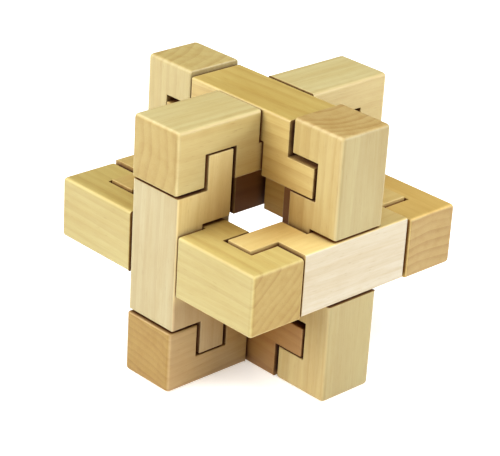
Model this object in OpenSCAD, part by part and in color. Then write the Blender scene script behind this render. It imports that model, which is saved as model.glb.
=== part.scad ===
// Twelve-piece wooden burr puzzle.
// Six long notched bars lie on the six faces of a cube, one pair along each axis, and six short
// bridge pieces cross them. A bridge's two feet sit in notches of the neighbouring bars.
// At the rear the crossing is turned round: the rear rail passes over the rear bridge, so the
// rail is the key and pulls straight out along +Y.
// X runs along the front and rear rails, Y from front to rear, Z up. Z = 0 is the table.

/* [Stock] */
// Length of every long bar
bar_len = 65; // [40:0.5:120]
// Width of a long bar across its run
bar_w = 15; // [8:0.1:30]
// Thickness of a long bar, inner face to outer face
bar_t = 15; // [8:0.1:30]
// Width of a bridge across its run
bridge_w = 15.2; // [8:0.1:30]

/* [Cage] */
// Centre of the puzzle to the outer faces of bars and bridges
face_r = 31.9; // [20:0.1:60]
// Half length of a bridge between its two shoulders
shoulder = 16.2; // [8:0.1:30]
// Half length of a bridge over its feet
foot_end = 24.5; // [12:0.1:45]
// Centre of the puzzle to the inner face of a foot
foot_in = 16.0; // [8:0.1:30]
// Centre of the puzzle to the outer face of a foot
foot_out = 23.2; // [12:0.1:45]
// Thickness of a bridge's crossbar
crossbar_t = 7.7; // [3:0.1:15]

/* [Play] */
// Gap between a bridge's crossbar and the core of the bar below it
core_gap = 0.3; // [0.1:0.1:1]
// Gap between a bridge's legs and the sides of the bar
leg_gap = 0.8; // [0.1:0.1:1]
// Gap at each side of a bridge in the outer notch of a bar
side_gap = 0.6; // [0.1:0.1:2]
// Gap at each side of a foot in its notch
foot_gap = 1.0; // [0.3:0.1:2]
// Gap between the end of a foot and the floor of its notch
foot_end_gap = 0.4; // [0.3:0.1:2]

/* [Seating] */
// The uprights stand on the table, which lifts them in the cage
post_rise = 0.6; // [0:0.1:0.6]
// The right upright and its bridge sit outward by this much of their play
right_out = 0.3; // [0:0.1:0.5]
// The left bridge sits outward by this much of its play
left_bridge_out = 0.4; // [0:0.1:0.4]
// The right bridge sits toward the front by this much of its play
right_bridge_forward = 0.2; // [0:0.1:0.2]
// The left bridge sits raised by this much of its play
left_bridge_rise = 0.5; // [0:0.1:0.6]
// The right bridge sits raised by this much of its play
right_bridge_rise = 0.5; // [0:0.1:0.6]
// The top bridge sits toward the left upright by this much of its play
top_bridge_left = 0.2; // [0:0.1:0.2]

/* [Colours] */
// Pale wood of the long bars
bar_colour = "BurlyWood";
// Paler wood of the bridges
bridge_colour = "Wheat";

/* [Output] */
// Sub-part to draw, or all

/* [Hidden] */
face_in = face_r - bar_t;
core_r = face_r - crossbar_t - core_gap;
leg_in = bar_w / 2 + leg_gap;
outer_notch = bridge_w / 2 + side_gap;
notch_near = foot_in - foot_gap;
notch_far = foot_out + foot_gap;
notch_floor = foot_end + foot_end_gap;
key_core = core_r - core_gap;

// A rectangle given by two opposite corners.
module box2(from, to) {
  translate(from)
    square(to - from);
}

// The same rectangle at both sides of the centre line.
module box2_pair(from, to) {
  box2(from, to);
  mirror([1, 0])
    box2(from, to);
}

// Notches on the inner face of a long bar, one for a foot at each end.
module foot_notches() {
  box2_pair([notch_near, face_in - 1], [notch_far, notch_floor]);
}

module bar_stock() {
  box2([-bar_len / 2, face_in], [bar_len / 2, face_r]);
}

// Side profile of a long bar: length across, distance from the puzzle's centre up.
module bar_profile() {
  difference() {
    bar_stock();
    foot_notches();
    box2([-outer_notch, core_r], [outer_notch, face_r + 1]);
  }
}

// Side profile of the key rail, whose middle notch is on the inner face.
module key_profile() {
  difference() {
    bar_stock();
    foot_notches();
    box2([-outer_notch, face_in - 1], [outer_notch, core_r]);
  }
}

// Side view of a bridge before its middle is cut: a block with a foot at each end.
module bridge_stock() {
  difference() {
    box2([-foot_end, foot_in], [foot_end, face_r]);
    box2_pair([shoulder, foot_out], [foot_end + 1, face_r + 1]);
  }
}

// Side profile of a bridge: a crossbar over two legs and two feet.
module bridge_profile() {
  difference() {
    bridge_stock();
    box2([-leg_in, foot_in - 1], [leg_in, face_r - crossbar_t]);
  }
}

// Side profile of the bridge under the key rail: an inner core between two outer lugs.
module key_bridge_profile() {
  difference() {
    bridge_stock();
    box2([-leg_in, key_core], [leg_in, face_r + 1]);
  }
}

// A profile cut through a piece that runs along Y on the top of the cage.
module along_top(width) {
  rotate([90, 0, 90])
    linear_extrude(height = width, center = true)
      children();
}

// A profile cut through a piece that runs along X on the top of the cage.
module across_top(width) {
  rotate([90, 0, 0])
    linear_extrude(height = width, center = true)
      children();
}

// Turns a piece made for the top face to the +X face.
module to_x_face() {
  rotate([90, 0, 90])
    children();
}

// Turns a piece made for the top face to the +Y face.
module to_y_face() {
  to_x_face()
    to_x_face()
      children();
}

module long_bar() {
  along_top(bar_w)
    bar_profile();
}

module bridge() {
  across_top(bridge_w)
    bridge_profile();
}

// Places a piece in the cage, with the cage standing on the table.
module seated(shift = [0, 0, 0]) {
  translate([0, 0, face_r] + shift)
    children();
}

module front_rail() {
  color(bar_colour)
    seated()
      mirror([0, 1, 0])
        to_y_face()
          long_bar();
}

module rear_key_rail() {
  color(bar_colour)
    seated()
      to_y_face()
        along_top(bar_w)
          key_profile();
}

module top_bar() {
  color(bar_colour)
    seated()
      long_bar();
}

module bottom_bar() {
  color(bar_colour)
    seated()
      mirror([0, 0, 1])
        long_bar();
}

module left_post() {
  color(bar_colour)
    seated([0, 0, post_rise])
      mirror([1, 0, 0])
        to_x_face()
          long_bar();
}

module right_post() {
  color(bar_colour)
    seated([right_out, 0, post_rise])
      to_x_face()
        long_bar();
}

module front_bridge() {
  color(bridge_colour)
    seated()
      mirror([0, 1, 0])
        to_y_face()
          bridge();
}

module rear_bridge() {
  color(bridge_colour)
    seated()
      to_y_face()
        across_top(bridge_w)
          key_bridge_profile();
}

module top_bridge() {
  color(bridge_colour)
    seated([-top_bridge_left, 0, 0])
      bridge();
}

module bottom_bridge() {
  color(bridge_colour)
    seated()
      mirror([0, 0, 1])
        bridge();
}

module left_bridge() {
  color(bridge_colour)
    seated([-left_bridge_out, 0, left_bridge_rise])
      mirror([1, 0, 0])
        to_x_face()
          bridge();
}

module right_bridge() {
  color(bridge_colour)
    seated([right_out, -right_bridge_forward, right_bridge_rise])
      to_x_face()
        bridge();
}

front_rail();
rear_key_rail();
top_bar();
bottom_bar();
left_post();
right_post();
front_bridge();
rear_bridge();
top_bridge();
bottom_bridge();
left_bridge();
right_bridge();
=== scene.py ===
"""Looks of a wooden burr puzzle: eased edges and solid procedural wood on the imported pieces."""

import math

import bpy
from mathutils import Matrix, Vector


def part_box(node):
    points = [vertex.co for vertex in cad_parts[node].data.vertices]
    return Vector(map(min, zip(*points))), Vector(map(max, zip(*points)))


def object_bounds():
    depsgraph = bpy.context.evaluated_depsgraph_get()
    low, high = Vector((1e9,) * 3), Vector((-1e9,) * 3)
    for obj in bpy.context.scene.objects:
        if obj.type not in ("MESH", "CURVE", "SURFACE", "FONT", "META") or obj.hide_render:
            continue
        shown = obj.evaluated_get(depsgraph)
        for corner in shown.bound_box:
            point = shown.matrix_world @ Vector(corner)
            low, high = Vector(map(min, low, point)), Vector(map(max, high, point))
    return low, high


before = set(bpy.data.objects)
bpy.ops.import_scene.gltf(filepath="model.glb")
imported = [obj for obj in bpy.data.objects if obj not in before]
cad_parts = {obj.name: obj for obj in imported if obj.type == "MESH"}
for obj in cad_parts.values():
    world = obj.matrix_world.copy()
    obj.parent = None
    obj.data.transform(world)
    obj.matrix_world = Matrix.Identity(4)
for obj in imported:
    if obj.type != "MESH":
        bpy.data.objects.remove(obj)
cad_low, cad_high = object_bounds()
MM = 0.001

# Height of the cage's centre over the table, in mm.
CENTRE_HEIGHT = 31.9

# Camera: degrees, mm from its aim, mm that the aim lies off the centre, mm of lens on the sensor.
CAMERA_AZIMUTH, CAMERA_ELEVATION, CAMERA_ROLL = 45.44, 25.0, 3.57
CAMERA_DISTANCE = 456.8
AIM_LEFT, AIM_DOWN = 1.47, 2.06
LENS, SENSOR = 141.3, 36

# Soft boxes: azimuth from -Y toward +X and elevation in degrees, power in watts.
SOFT_BOXES = {
    "key": (-15, 25, 9.0),
    "key_high": (-45, 50, 5.8),
    "side_high": (60, 50, 3.9),
    "rear_side": (130, 25, 9.1),
    "top": (45, 85, 3.3),
}
BOX_SIZE, BOX_DISTANCE, BOX_AIM_HEIGHT = 0.6, 1.0, 0.03
AMBIENT = 0.01
FLOOR_HALF, FLOOR_WHITE, FLOOR_GLOW = 3.0, 0.96, 0.4

# Edge radii in mm: show edges, inner face, notch rims.
BAR_EDGES = (1.05, 0.5, 0.2)
BRIDGE_EDGES = (0.7, 0.3, 0.2)
EDGE_SEGMENTS = 4

# How parts of the surface differ from a piece's sanded sides: the saw-cut and end-cut tints darken
# notch faces partly as sawn wood and partly as painted shade of the recesses, the inner, crevice,
# middle and low tints are painted shade, and the edge tint is paler sanded wood plus a painted
# highlight.
SAW_CUT_AND_SHADE_TINT = (1.0, 0.86, 0.70)
END_CUT_AND_SHADE_TINT = (0.45, 0.32, 0.20)
INNER_SHADE_TINT = (0.56, 0.35, 0.24)
CREVICE_SHADE_TINT = (0.28, 0.10, 0.02)
EDGE_WEAR_AND_HIGHLIGHT_TINT = (1.16, 1.20, 1.32)
MIDDLE_SHADE_TINT = (0.84, 0.68, 0.47)
LOW_SHADE_TINT = (0.60, 0.52, 0.52)

# Radii from the puzzle's centre between which painted shade deepens toward the middle, heights between
# which painted shade darkens the bridges' sides, and reach of the painted crevice shade, in mm.
MIDDLE_SHADE_FROM, MIDDLE_SHADE_TO = 34.0, 19.0
LOW_SHADE_FROM, LOW_SHADE_TO = 27.0, 21.0
CREVICE_SHADE_REACH = 3.2

# Noise in the wood: cells per mm across and along the grain, detail, roughness.
FIBRE = ((3.2, 3.2, 0.07), 4.0, 0.62)
STREAK = ((0.45, 0.45, 0.012), 2.0, 0.5)
MOTTLE = ((0.5, 0.5, 0.22), 3.0, 0.6)
BLOTCH = ((0.08, 0.08, 0.03), 2.0, 0.5)
PORE = ((4.6, 4.6, 0.42), 1.0, 0.4)

# What that noise and the late wood of the rings do to the colour.
FIBRE_TINT = (0.86, 0.78, 0.66)
STREAK_TINT = (0.88, 0.80, 0.68)
MOTTLE_TINT = (0.93, 0.89, 0.82)
BLOTCH_TINT = (1.05, 1.08, 1.16)
PORE_TINT = (0.62, 0.50, 0.38)
RING_TINT = (0.72, 0.60, 0.46)
RING_ON_SIDE, RING_ON_END = 0.42, 0.77

# How far the grain wanders, and how deep its relief is, in mm.
WANDER = 5.0
RELIEF = 0.03


def piece(grain, outward, edges, side, outer, end, rings, spacing, heart, runout, seed):
    """One piece's wood.

    Grain axis, direction of its outer face, edge radii, colours of its sides, outer face and ends,
    ring strength, ring spacing and place of the tree's heart in mm, lean of the grain in degrees,
    noise seed.
    """
    return {
        "grain": grain, "outward": outward, "edges": edges, "side": side, "outer": outer, "end": end,
        "rings": rings, "spacing": spacing, "heart": heart, "runout": runout, "seed": seed,
    }


PIECES = {
    "top_bar": piece(
        "Y", "+Z", BAR_EDGES, (0.475, 0.375, 0.155), (0.485, 0.415, 0.195), (0.335, 0.245, 0.08),
        0.6, 2.7, (-56, 90), (1.2, 0.6), 11),
    "bottom_bar": piece(
        "Y", "-Z", BAR_EDGES, (0.355, 0.23, 0.085), (0.42, 0.29, 0.12), (0.27, 0.165, 0.035),
        0.6, 1.7, (70, 10), (1.0, -1.8), 23),
    "left_post": piece(
        "Z", "-X", BAR_EDGES, (0.41, 0.335, 0.15), (0.42, 0.34, 0.16), (0.41, 0.32, 0.12),
        0.6, 2.6, (52, 12), (0.8, 0.5), 37),
    "right_post": piece(
        "Z", "+X", BAR_EDGES, (0.415, 0.315, 0.125), (0.355, 0.285, 0.12), (0.385, 0.27, 0.095),
        0.7, 2.2, (-12, -4), (-0.8, 1.0), 41),
    "front_rail": piece(
        "X", "-Y", BAR_EDGES, (0.45, 0.35, 0.115), (0.36, 0.29, 0.105), (0.35, 0.24, 0.065),
        0.7, 1.9, (54, -62), (-1.1, 0.7), 53),
    "rear_key_rail": piece(
        "X", "+Y", BAR_EDGES, (0.58, 0.40, 0.12), (0.42, 0.30, 0.12), (0.355, 0.24, 0.08),
        0.8, 2.3, (-24, 42), (0.5, 1.4), 67),
    "front_bridge": piece(
        "Z", "-Y", BRIDGE_EDGES, (0.62, 0.49, 0.215), (0.365, 0.305, 0.16), (0.36, 0.24, 0.08),
        0.5, 2.8, (44, 10), (0.4, -0.9), 71),
    "rear_bridge": piece(
        "Z", "+Y", BRIDGE_EDGES, (0.47, 0.36, 0.16), (0.44, 0.36, 0.19), (0.32, 0.22, 0.09),
        0.7, 2.2, (-36, 18), (1.3, 0.4), 83),
    "top_bridge": piece(
        "X", "+Z", BRIDGE_EDGES, (0.46, 0.345, 0.125), (0.43, 0.315, 0.09), (0.32, 0.22, 0.07),
        0.9, 2.4, (16, -38), (1.8, -0.6), 97),
    "bottom_bridge": piece(
        "X", "-Z", BRIDGE_EDGES, (0.45, 0.26, 0.065), (0.60, 0.45, 0.16), (0.45, 0.28, 0.075),
        0.8, 2.0, (30, 14), (-0.7, 1.2), 103),
    "left_bridge": piece(
        "Y", "-X", BRIDGE_EDGES, (0.46, 0.34, 0.12), (0.44, 0.33, 0.14), (0.33, 0.21, 0.06),
        0.7, 2.5, (-22, -32), (0.9, 0.9), 113),
    "right_bridge": piece(
        "Y", "+X", BRIDGE_EDGES, (0.60, 0.46, 0.18), (0.49, 0.43, 0.31), (0.36, 0.25, 0.09),
        0.3, 2.7, (48, -6), (-0.6, 0.5), 127),
}


def axis_of(outward):
    return "XYZ".index(outward[1])


def sign_of(outward):
    return 1.0 if outward[0] == "+" else -1.0


def direction(azimuth, elevation):
    """The way to a point in the sky; azimuth 0 lies toward -Y and 90 toward +X, in degrees."""
    az, el = math.radians(azimuth), math.radians(elevation)
    return Vector((math.sin(az) * math.cos(el), -math.cos(az) * math.cos(el), math.sin(el)))


def camera():
    data = bpy.data.cameras.new("camera")
    cam = bpy.data.objects.new("camera", data)
    bpy.context.scene.collection.objects.link(cam)
    az, roll = math.radians(CAMERA_AZIMUTH), math.radians(CAMERA_ROLL)
    back = direction(CAMERA_AZIMUTH, CAMERA_ELEVATION)
    right = Vector((math.cos(az), math.sin(az), 0))
    up = back.cross(right)
    aim = Vector((0, 0, CENTRE_HEIGHT * MM)) - AIM_LEFT * MM * right - AIM_DOWN * MM * up
    rolled_right = math.cos(roll) * right + math.sin(roll) * up
    rolled_up = math.cos(roll) * up - math.sin(roll) * right
    turn = Matrix((rolled_right, rolled_up, back)).transposed()
    cam.matrix_world = Matrix.Translation(aim + back * CAMERA_DISTANCE * MM) @ turn.to_4x4()
    data.sensor_width = SENSOR
    data.lens = LENS
    data.clip_start = 0.02
    data.clip_end = 20
    bpy.context.scene.camera = cam


def soft_light(name, azimuth, elevation, power):
    """A square soft box aimed at the puzzle."""
    data = bpy.data.lights.new(name, "AREA")
    data.size = BOX_SIZE
    data.energy = power
    light = bpy.data.objects.new(name, data)
    bpy.context.scene.collection.objects.link(light)
    way = direction(azimuth, elevation)
    light.location = Vector((0, 0, BOX_AIM_HEIGHT)) + way * BOX_DISTANCE
    light.rotation_mode = "QUATERNION"
    light.rotation_quaternion = (-way).to_track_quat("-Z", "Y")


def lights():
    bpy.context.scene.view_settings.view_transform = "Standard"
    world = bpy.data.worlds.new("studio")
    bpy.context.scene.world = world
    world.use_nodes = True
    background = world.node_tree.nodes["Background"]
    background.inputs["Color"].default_value = (1, 1, 1, 1)
    background.inputs["Strength"].default_value = AMBIENT
    for name, (azimuth, elevation, power) in SOFT_BOXES.items():
        soft_light(name, azimuth, elevation, power)


def floor():
    mesh = bpy.data.meshes.new("floor")
    corners = [(x * FLOOR_HALF, y * FLOOR_HALF, 0) for x, y in ((-1, -1), (1, -1), (1, 1), (-1, 1))]
    mesh.from_pydata(corners, [], [(0, 1, 2, 3)])
    plane = bpy.data.objects.new("floor", mesh)
    bpy.context.scene.collection.objects.link(plane)
    mat = bpy.data.materials.new("floor_white")
    mat.use_nodes = True
    shader = mat.node_tree.nodes["Principled BSDF"]
    shader.inputs["Base Color"].default_value = (FLOOR_WHITE, FLOOR_WHITE, FLOOR_WHITE, 1)
    shader.inputs["Emission Color"].default_value = (1, 1, 1, 1)
    shader.inputs["Emission Strength"].default_value = FLOOR_GLOW
    shader.inputs["Roughness"].default_value = 0.9
    shader.inputs["Specular IOR Level"].default_value = 0.0
    mesh.materials.append(mat)


class Graph:
    """Short calls for building one material's nodes."""

    def __init__(self, mat):
        self.tree = mat.node_tree

    def put(self, socket, value):
        if isinstance(value, bpy.types.NodeSocket):
            self.tree.links.new(value, socket)
        else:
            socket.default_value = value

    def math(self, operation, a, b=None, c=None, clamp=False):
        node = self.tree.nodes.new("ShaderNodeMath")
        node.operation = operation
        node.use_clamp = clamp
        for socket, value in zip(node.inputs, (a, b, c)):
            if value is not None:
                self.put(socket, value)
        return node.outputs[0]

    def vector(self, operation, a, b=None, scale=None):
        node = self.tree.nodes.new("ShaderNodeVectorMath")
        node.operation = operation
        self.put(node.inputs[0], a)
        if b is not None:
            self.put(node.inputs[1], b)
        if scale is not None:
            self.put(node.inputs["Scale"], scale)
        return node.outputs["Value" if operation == "LENGTH" else "Vector"]

    def noise(self, coords, scale, detail, roughness, colour=False):
        node = self.tree.nodes.new("ShaderNodeTexNoise")
        self.put(node.inputs["Vector"], coords)
        node.inputs["Scale"].default_value = scale
        node.inputs["Detail"].default_value = detail
        node.inputs["Roughness"].default_value = roughness
        return node.outputs["Color" if colour else "Fac"]

    def pattern(self, coords, cells, detail, roughness):
        """Noise stretched along the grain."""
        return self.noise(self.vector("MULTIPLY", coords, cells), 1.0, detail, roughness)

    def ramp(self, value, low, high, to_low=0.0, to_high=1.0):
        """Runs smoothly from to_low to to_high as the value goes from low to high."""
        node = self.tree.nodes.new("ShaderNodeMapRange")
        node.interpolation_type = "SMOOTHSTEP"
        self.put(node.inputs["Value"], value)
        node.inputs["From Min"].default_value = low
        node.inputs["From Max"].default_value = high
        node.inputs["To Min"].default_value = to_low
        node.inputs["To Max"].default_value = to_high
        return node.outputs["Result"]

    def mix(self, factor, a, b):
        node = self.tree.nodes.new("ShaderNodeMix")
        node.data_type = "RGBA"
        self.put(node.inputs["Factor"], factor)
        self.put(node.inputs["A"], a)
        self.put(node.inputs["B"], b)
        return node.outputs["Result"]

    def tint(self, colour, amount, factor):
        """The colour multiplied by the factor, as far as amount says."""
        node = self.tree.nodes.new("ShaderNodeMix")
        node.data_type = "RGBA"
        node.blend_type = "MULTIPLY"
        node.clamp_result = False
        self.put(node.inputs["Factor"], amount)
        self.put(node.inputs["A"], colour)
        self.put(node.inputs["B"], (*factor, 1.0))
        return node.outputs["Result"]

    def split(self, vector):
        node = self.tree.nodes.new("ShaderNodeSeparateXYZ")
        self.put(node.inputs[0], vector)
        return node.outputs


def grain_coordinates(g, point, look):
    """Millimetres from the tree's heart, with the grain running along Z."""
    x, y, z = g.split(point)
    swap = {"X": (y, z, x), "Y": (z, x, y), "Z": (x, y, z)}[look["grain"]]
    joined = g.tree.nodes.new("ShaderNodeCombineXYZ")
    for socket, value in zip(joined.inputs, swap):
        g.put(socket, value)
    turned = g.tree.nodes.new("ShaderNodeMapping")
    g.put(turned.inputs["Vector"], joined.outputs[0])
    turned.inputs["Rotation"].default_value = [math.radians(v) for v in (*look["runout"], 0)]
    turned.inputs["Location"].default_value = (*look["heart"], look["seed"] * 7.0)
    return turned.outputs["Vector"]


def wandering(g, grain):
    """Grain coordinates that wander slowly along and across the piece."""
    slow = g.vector("MULTIPLY", grain, (1.0, 1.0, 0.22))
    wander = g.vector("SUBTRACT", g.noise(slow, 0.045, 2.0, 0.5, colour=True), (0.5, 0.5, 0.5))
    return g.vector("ADD", grain, g.vector("SCALE", wander, scale=WANDER))


def growth_rings(g, bent, spacing):
    """Dark late wood at the end of each year's ring, some years stronger than others."""
    across = g.vector("MULTIPLY", bent, (1.0, 1.0, 0.0))
    radius = g.math("DIVIDE", g.vector("LENGTH", across), spacing)
    ring = g.math("FRACT", radius)
    late = g.math("MULTIPLY", g.ramp(ring, 0.25, 0.93), g.ramp(ring, 1.0, 0.95))
    dice = g.tree.nodes.new("ShaderNodeTexWhiteNoise")
    dice.noise_dimensions = "1D"
    g.put(dice.inputs["W"], g.math("FLOOR", radius))
    return g.math("MULTIPLY", late, g.math("MULTIPLY_ADD", dice.outputs["Value"], 0.8, 0.35))


def inside_box(g, point, node):
    """Distances in mm from a point to the nearest and next nearest side of the piece's box."""
    low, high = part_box(node)
    centre, half = (low + high) / 2 / MM, (high - low) / 2 / MM
    from_centre = g.vector("ABSOLUTE", g.vector("SUBTRACT", point, centre))
    x, y, z = g.split(g.vector("SUBTRACT", half, from_centre))
    low_pair, high_pair = g.math("MINIMUM", x, y), g.math("MAXIMUM", x, y)
    nearest = g.math("MINIMUM", low_pair, z)
    next_nearest = g.math("MAXIMUM", low_pair, g.math("MINIMUM", high_pair, z))
    return nearest, next_nearest


def outer_depth(g, point, node, outward):
    """Distance in mm from a point to the plane of the piece's outer face."""
    low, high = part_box(node)
    axis, sign = axis_of(outward), sign_of(outward)
    plane = (high if sign > 0 else low)[axis] / MM
    return g.math("MULTIPLY", g.math("SUBTRACT", plane, g.split(point)[axis]), sign)


def painted_crevice_shade(g):
    """Painted shade: one in narrow gaps, part of it along inside corners, zero on open faces, from
    ambient occlusion.
    """
    node = g.tree.nodes.new("ShaderNodeAmbientOcclusion")
    node.samples = 8
    node.inputs["Distance"].default_value = CREVICE_SHADE_REACH * MM
    return g.ramp(node.outputs["AO"], 0.70, 0.20)


def wood(node, look):
    """Solid wood: rings about a heart beside the piece, fibres and pores along the grain, with painted
    shade in notches, gaps, toward the middle and low on the bridges, and a painted highlight on eased
    edges.
    """
    mat = bpy.data.materials.new("wood_" + node)
    mat.use_nodes = True
    g = Graph(mat)
    shader = mat.node_tree.nodes["Principled BSDF"]
    coords = mat.node_tree.nodes.new("ShaderNodeTexCoord")
    point = g.vector("SCALE", coords.outputs["Object"], scale=1 / MM)
    bent = wandering(g, grain_coordinates(g, point, look))
    rings = growth_rings(g, bent, look["spacing"])
    fibre = g.pattern(bent, *FIBRE)
    streak = g.pattern(bent, *STREAK)
    mottle = g.pattern(bent, *MOTTLE)
    blotch = g.pattern(bent, *BLOTCH)
    pores = g.ramp(g.pattern(bent, *PORE), 0.66, 0.76)

    # Which way the surface faces.
    facing = g.split(coords.outputs["Normal"])
    outward = g.math("MULTIPLY", facing[axis_of(look["outward"])], sign_of(look["outward"]))
    nx, ny, nz = (g.math("ABSOLUTE", side) for side in facing)
    end = g.ramp({"X": nx, "Y": ny, "Z": nz}[look["grain"]], 0.6, 0.95)
    rounded = g.ramp(g.math("MAXIMUM", g.math("MAXIMUM", nx, ny), nz), 0.985, 0.80)

    # Where it lies: in a notch, on the outer face, toward the middle, low down, in a gap.
    nearest, next_nearest = inside_box(g, point, node)
    # Notch faces: sawn wood, rougher, and darkened below also as painted shade of the recesses.
    sawn_and_shaded = g.ramp(nearest, 0.15, 1.8)
    on_outer = g.ramp(outer_depth(g, point, node, look["outward"]), 1.0, 0.5)
    facing_out = g.math("MULTIPLY", g.ramp(outward, 0.6, 0.95), on_outer)
    # Inner faces of the bridges, darkened below as painted shade of the cage's inside.
    inner = g.math("MULTIPLY", g.ramp(outward, -0.85, -0.98), g.math("SUBTRACT", 1.0, sawn_and_shaded))
    from_centre = g.vector("SUBTRACT", point, (cad_low + cad_high) / 2 / MM)
    # Painted shade, deepening toward the middle of the cage.
    middle_shade = g.ramp(g.vector("LENGTH", from_centre), MIDDLE_SHADE_FROM, MIDDLE_SHADE_TO)
    height = g.split(point)[2]
    # Painted shade on the bridges' sides low down, under the rails; not on their outer faces.
    low_shade = g.math("SUBTRACT", g.ramp(height, LOW_SHADE_FROM, LOW_SHADE_TO), facing_out, clamp=True)
    show_edge = g.ramp(next_nearest, 1.0, 0.5)
    # Painted shade in gaps and inside corners, from ambient occlusion, left off near the floor.
    crevice_shade = g.math("MULTIPLY", painted_crevice_shade(g), g.ramp(height, 0.4, 2.0))

    hue = g.mix(facing_out, (*look["side"], 1), (*look["outer"], 1))
    hue = g.mix(end, hue, (*look["end"], 1))
    hue = g.tint(hue, g.ramp(blotch, 0.35, 0.65), BLOTCH_TINT)
    hue = g.tint(hue, g.ramp(mottle, 0.35, 0.75, 0.0, 0.5), MOTTLE_TINT)
    hue = g.tint(hue, g.ramp(streak, 0.40, 0.72, 0.0, 0.5), STREAK_TINT)
    hue = g.tint(hue, g.ramp(fibre, 0.35, 0.75, 0.0, 0.38), FIBRE_TINT)
    on_side, more_on_end = RING_ON_SIDE * look["rings"], (RING_ON_END - RING_ON_SIDE) * look["rings"]
    ring_strength = g.math("MULTIPLY_ADD", end, more_on_end, on_side)
    hue = g.tint(hue, g.math("MULTIPLY", rings, ring_strength), RING_TINT)
    hue = g.tint(hue, g.math("MULTIPLY", pores, 0.30), PORE_TINT)
    # Painted shade toward the middle of the cage.
    hue = g.tint(hue, middle_shade, MIDDLE_SHADE_TINT)
    # Notch faces: sawn wood plus painted shade of the recesses, darkest on their end grain.
    hue = g.tint(hue, sawn_and_shaded, SAW_CUT_AND_SHADE_TINT)
    hue = g.tint(hue, g.math("MULTIPLY", sawn_and_shaded, end), END_CUT_AND_SHADE_TINT)
    if look["edges"] == BRIDGE_EDGES:
        show_edge = g.math("MULTIPLY", show_edge, on_outer)
        # Painted shade on the bridges' inner faces.
        hue = g.tint(hue, inner, INNER_SHADE_TINT)
        # Painted shade on the bridges' sides low down.
        hue = g.tint(hue, low_shade, LOW_SHADE_TINT)
    # Eased show edges: paler sanded wood plus a painted highlight.
    hue = g.tint(hue, g.math("MULTIPLY", rounded, show_edge), EDGE_WEAR_AND_HIGHLIGHT_TINT)
    # Painted shade in crevices and between parts.
    hue = g.tint(hue, crevice_shade, CREVICE_SHADE_TINT)
    g.put(shader.inputs["Base Color"], hue)

    rough = g.math("MULTIPLY_ADD", fibre, 0.16, 0.36)
    rough = g.math("MULTIPLY_ADD", end, 0.14, rough)
    g.put(shader.inputs["Roughness"], g.math("MULTIPLY_ADD", sawn_and_shaded, 0.45, rough, clamp=True))
    shader.inputs["Specular IOR Level"].default_value = 0.42

    relief = g.math("MULTIPLY_ADD", fibre, 0.5, g.math("MULTIPLY", pores, -0.8))
    relief = g.math("MULTIPLY_ADD", rings, 0.25, relief)
    bump = mat.node_tree.nodes.new("ShaderNodeBump")
    bump.inputs["Strength"].default_value = 0.35
    bump.inputs["Distance"].default_value = RELIEF * MM
    g.put(bump.inputs["Height"], relief)
    g.put(shader.inputs["Normal"], bump.outputs["Normal"])
    mat.diffuse_color = (*look["side"], 1)
    return mat


def edge_radius(a, b, low, high, outward, radii):
    """Radius in mm of the edge from a to b, from where it lies on the piece's box."""
    near = 1e-6
    show, inner_face, rim = radii
    radial = axis_of(outward)
    inner = low[radial] if sign_of(outward) > 0 else high[radial]
    sides = [
        i for i in range(3)
        if abs(a[i] - b[i]) < near and min(abs(a[i] - low[i]), abs(a[i] - high[i])) < near
    ]
    if len(sides) < 2:
        return rim
    on_inner = radial in sides and abs(a[radial] - inner) < near
    if on_inner or (radii == BRIDGE_EDGES and radial not in sides):
        return inner_face
    return show


def ease_edges(node, outward, radii):
    """Rounds the edges of a CAD piece with modifiers: wide on its show edges, fine on notch rims."""
    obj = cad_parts[node]
    mesh = obj.data
    low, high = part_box(node)
    for attribute in ("custom_normal", "sharp_edge", "sharp_face"):
        if attribute in mesh.attributes:
            mesh.attributes.remove(mesh.attributes[attribute])
    for polygon in mesh.polygons:
        polygon.use_smooth = True
    weights = mesh.attributes.new("bevel_weight_edge", "FLOAT", "EDGE")
    widest = max(radii)
    for edge in mesh.edges:
        a, b = (mesh.vertices[i].co for i in edge.vertices)
        weights.data[edge.index].value = edge_radius(a, b, low, high, outward, radii) / widest
    weld = obj.modifiers.new("weld", "WELD")
    weld.merge_threshold = 1e-6
    flat = obj.modifiers.new("merge_flats", "DECIMATE")
    flat.decimate_type = "DISSOLVE"
    flat.angle_limit = math.radians(1)
    bevel = obj.modifiers.new("eased_edges", "BEVEL")
    bevel.limit_method = "WEIGHT"
    bevel.width = widest * MM
    bevel.segments = EDGE_SEGMENTS
    bevel.profile = 0.5
    bevel.use_clamp_overlap = True
    normals = obj.modifiers.new("flat_normals", "WEIGHTED_NORMAL")
    normals.weight = 100


def dress():
    for node, look in PIECES.items():
        ease_edges(node, look["outward"], look["edges"])
        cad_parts[node].material_slots[0].material = wood(node, look)


camera()
lights()
floor()
dress()

bpy.context.view_layer.update()
